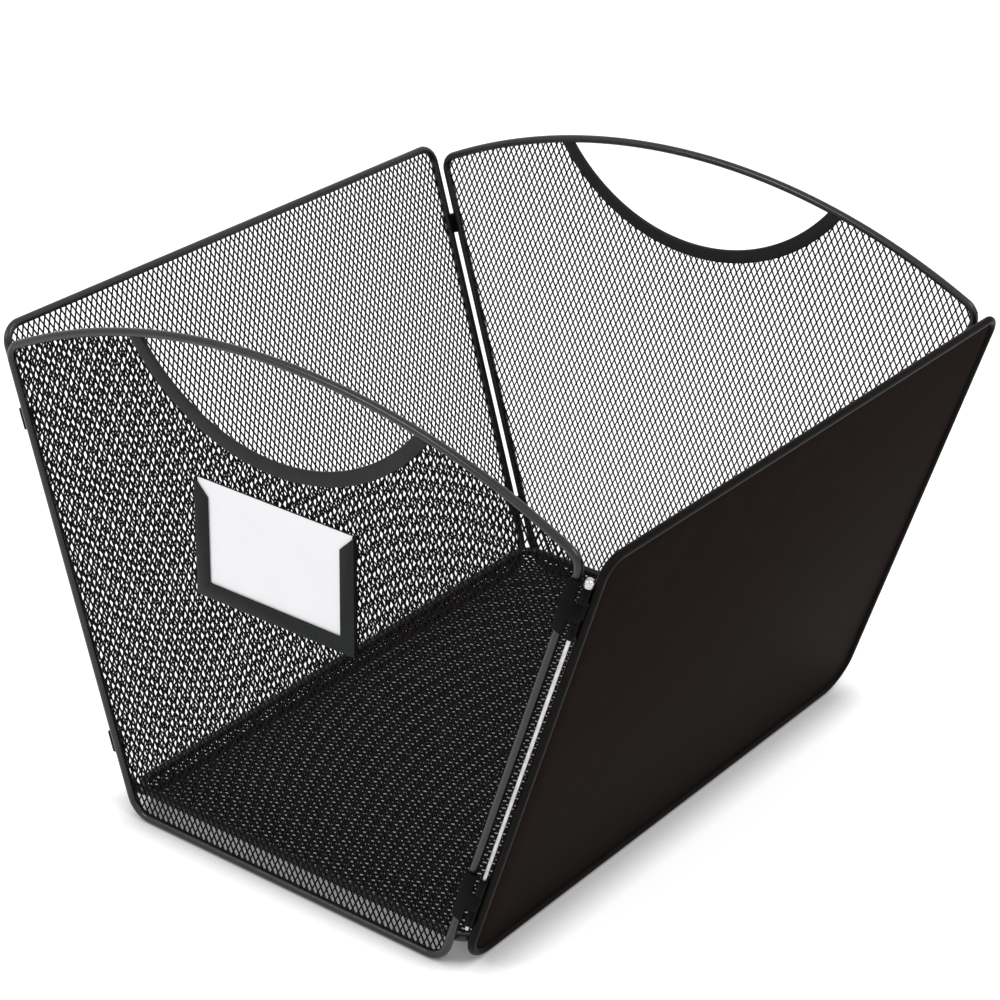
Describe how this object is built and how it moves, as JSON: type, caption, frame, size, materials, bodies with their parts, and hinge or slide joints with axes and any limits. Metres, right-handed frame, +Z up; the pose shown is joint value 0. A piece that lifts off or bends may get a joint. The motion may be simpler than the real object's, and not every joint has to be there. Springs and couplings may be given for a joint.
{
  "type": "desktop file tub",
  "caption": "Flared mesh file tub for letter-size folders: arched side panels with cut-out handles, rod-hinged at the front corners, and a card holder on one side.",
  "frame": {"origin": "on the desk, at the middle of the tub's footprint", "axes": "+Z up; -Y towards the solid front panel; -X towards the side that carries the label holder"},
  "size_m": [0.3262, 0.3454, 0.2677],
  "materials": {
    "black_wire": "satin black powder coat",
    "black_sheet": "matte black powder coat",
    "black_mesh": "satin black powder coat",
    "black_fittings": "satin black powder coat",
    "black_holder": "satin black powder coat",
    "rod_steel": "bright zinc-plated steel",
    "card": "smooth white card"
  },
  "bodies": {
    "tub": {"front_frame": "black_wire", "front_sheet": "black_sheet", "back_frame": "black_wire", "back_mesh": "black_mesh", "base_frame": "black_wire", "base_mesh": "black_mesh", "near_upper_front_leaf": "black_fittings", "near_upper_catch": "black_fittings", "near_lower_front_leaf": "black_fittings", "near_lower_catch": "black_fittings", "far_upper_front_leaf": "black_fittings", "far_upper_catch": "black_fittings", "far_lower_front_leaf": "black_fittings", "far_lower_catch": "black_fittings"},
    "near_side": {"near_side_frame": "black_wire", "near_side_mesh": "black_mesh", "near_handle_band": "black_wire", "near_upper_side_leaf": "black_fittings", "near_lower_side_leaf": "black_fittings", "label_holder": "black_holder"},
    "far_side": {"far_side_frame": "black_wire", "far_side_mesh": "black_mesh", "far_handle_band": "black_wire", "far_upper_side_leaf": "black_fittings", "far_lower_side_leaf": "black_fittings"},
    "near_rod": {"near_hinge_rod": "rod_steel"},
    "far_rod": {"far_hinge_rod": "rod_steel"},
    "card": {"label_card": "card"}
  },
  "joints": [
    {"name": "near_side_swing", "type": "hinge", "parent": "tub", "child": "near_side", "pos_m": [-0.161, -0.09771, 0.00004], "axis": [0, -0.2924, 0.9563], "range_deg": [0, 90]},
    {"name": "far_side_swing", "type": "hinge", "parent": "tub", "child": "far_side", "pos_m": [0.161, -0.09771, 0.00004], "axis": [0, 0.2924, -0.9563], "range_deg": [0, 90]},
    {"name": "near_rod_pull", "type": "slide", "parent": "tub", "child": "near_rod", "axis": [0, -0.2924, 0.9563], "range_m": [0, 0.175]},
    {"name": "far_rod_pull", "type": "slide", "parent": "tub", "child": "far_rod", "axis": [0, -0.2924, 0.9563], "range_m": [0, 0.175]},
    {"name": "label_card_slide", "type": "slide", "parent": "near_side", "child": "card", "axis": [0, 0, 1], "range_m": [0, 0.055]}
  ]
}
